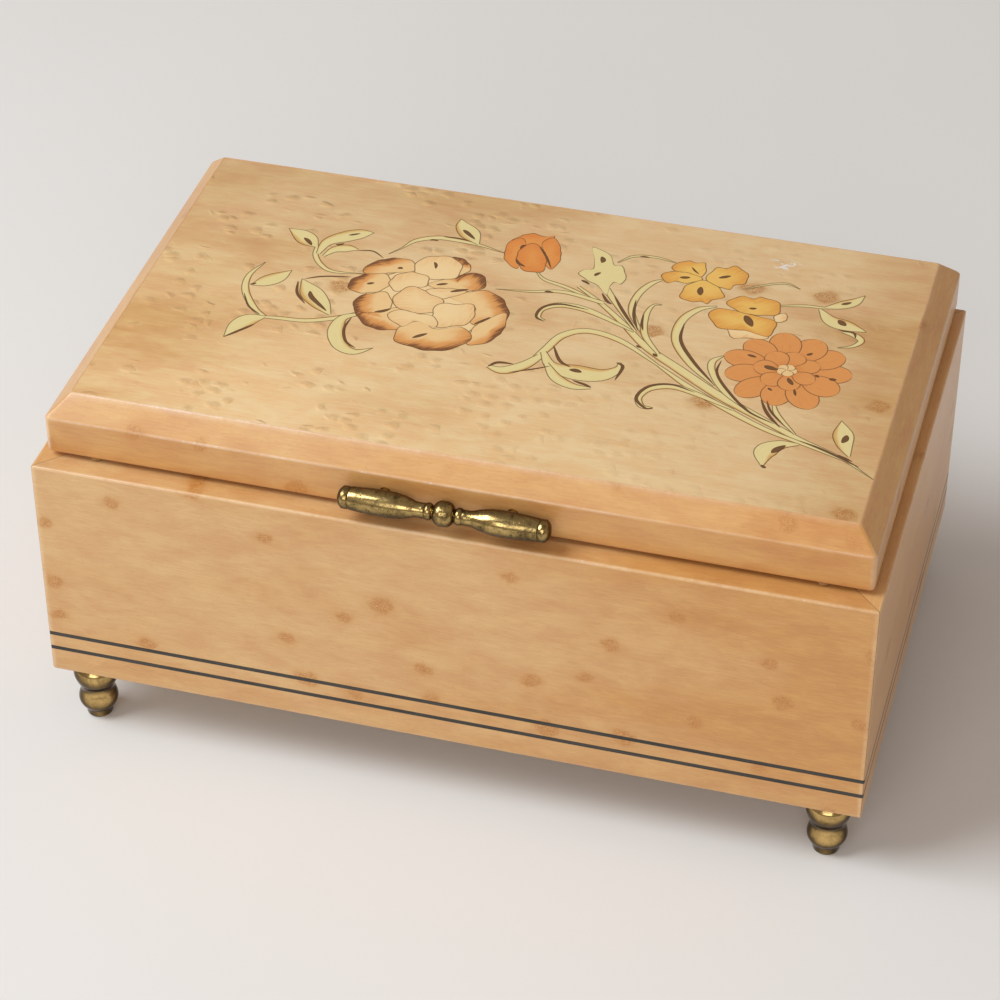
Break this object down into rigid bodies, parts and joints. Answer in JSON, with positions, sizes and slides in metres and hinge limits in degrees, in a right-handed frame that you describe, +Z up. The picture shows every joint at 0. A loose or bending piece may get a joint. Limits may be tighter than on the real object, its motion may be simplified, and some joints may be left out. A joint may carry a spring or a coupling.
{
  "type": "musical jewelry box",
  "caption": "Rectangular veneered wooden jewelry box on turned feet, with a bevelled hinged lid, a bar pull and a wind-up cylinder movement under glass inside.",
  "frame": {"origin": "on the table under the feet, below the middle of the bounding box", "axes": "+X along the front from left to right as seen by someone in front of it, +Y from front to back, +Z up"},
  "size_m": [0.2, 0.1294, 0.0948],
  "materials": {
    "maple": "satin varnish over figured veneer",
    "inlaid_maple": "satin varnish over figured veneer with floral inlay",
    "dark_line": "satin varnish over dyed veneer line",
    "plain_board": "sanded, unvarnished",
    "antique_brass": "turned, tarnished and rubbed bright on the high parts",
    "velvet": "short pile",
    "covered_board": "covered in short pile cloth",
    "felt": "matt",
    "hinge_brass": "satin",
    "movement_brass": "brushed",
    "bed_metal": "lacquered",
    "steel": "brushed",
    "fan_metal": "satin",
    "clear_glass": "polished"
  },
  "bodies": {
    "case": {"front_wall": "maple", "right_wall": "maple", "back_wall": "maple", "left_wall": "maple", "lower_stringing": "dark_line", "upper_stringing": "dark_line", "bottom_board": "plain_board", "foot_front_left": "antique_brass", "foot_front_right": "antique_brass", "foot_back_left": "antique_brass", "foot_back_right": "antique_brass", "wall_lining": "velvet", "bay_partition": "covered_board", "cross_partition": "covered_board", "ring_partition": "covered_board", "floor_lining": "velvet", "ring_block": "covered_board", "ring_rolls": "velvet", "hinge_case_leaf_left": "hinge_brass", "hinge_case_leaf_right": "hinge_brass", "hinge_pins": "hinge_brass", "hinge_case_screws": "hinge_brass", "bedplate": "bed_metal", "bedplate_screws": "steel", "spring_barrel": "movement_brass", "mainspring": "steel", "governor_inner_plate": "movement_brass", "governor_outer_plate": "movement_brass", "cylinder_bearing": "movement_brass", "plate_screws": "steel", "comb": "steel", "comb_block": "bed_metal", "comb_screws": "steel", "rod_guide": "movement_brass", "glass_pane": "clear_glass", "pane_cleats": "covered_board", "lever_spring": "steel"},
    "lid": {"lid_panel": "maple", "lid_veneer": "inlaid_maple", "lid_lining": "velvet", "lid_bumpers": "felt", "hinge_lid_leaf_left": "hinge_brass", "hinge_lid_leaf_right": "hinge_brass", "hinge_lid_screws": "hinge_brass", "pull_bar": "antique_brass", "pull_posts": "antique_brass"},
    "key": {"winding_arbor": "steel", "crown_wheel": "movement_brass", "winding_key": "antique_brass"},
    "cylinder": {"cylinder_arbor": "steel", "music_cylinder": "movement_brass", "cylinder_wheel": "movement_brass", "cylinder_pins": "steel"},
    "second": {"second_arbor": "steel", "second_wheel": "movement_brass"},
    "fan": {"fan_arbor": "steel", "fan_blades": "fan_metal"},
    "stop_lever": {"stop_lever": "steel"},
    "stop_rod": {"stop_rod": "steel"}
  },
  "joints": [
    {"name": "lid_hinge", "type": "hinge", "parent": "case", "child": "lid", "pos_m": [0, 0.0611, 0.0796], "axis": [-1, 0, 0], "range_deg": [0, 95]},
    {"name": "cylinder_turn", "type": "hinge", "parent": "case", "child": "cylinder", "pos_m": [-0.0512, 0.0229, 0.04195], "axis": [1, 0, 0], "continuous": true},
    {"name": "key_turn", "type": "hinge", "parent": "case", "child": "key", "pos_m": [-0.0755, 0.0229, 0.0253], "axis": [0, 0, 1], "continuous": true},
    {"name": "second_turn", "type": "hinge", "parent": "case", "child": "second", "pos_m": [-0.0348, 0.03208, 0.03503], "axis": [1, 0, 0], "continuous": true},
    {"name": "fan_turn", "type": "hinge", "parent": "case", "child": "fan", "pos_m": [-0.0306, 0.03963, 0.03135], "axis": [1, 0, 0], "continuous": true},
    {"name": "stop_lever_swing", "type": "hinge", "parent": "case", "child": "stop_lever", "pos_m": [-0.0246, 0.0279, 0.04235], "axis": [1, 0, 0], "range_deg": [0, 12]},
    {"name": "stop_rod_slide", "type": "slide", "parent": "case", "child": "stop_rod", "axis": [0, 0, 1], "range_m": [0, 0.0015]}
  ],
  "couplings": [
    {"joint": "key_turn", "follows": "cylinder_turn", "ratio": 0.33333},
    {"joint": "second_turn", "follows": "cylinder_turn", "ratio": -3.6},
    {"joint": "fan_turn", "follows": "cylinder_turn", "ratio": 11.52},
    {"joint": "stop_lever_swing", "follows": "lid_hinge", "ratio": 0.1263},
    {"joint": "stop_rod_slide", "follows": "lid_hinge", "m_per_rad": 0.0009046}
  ]
}
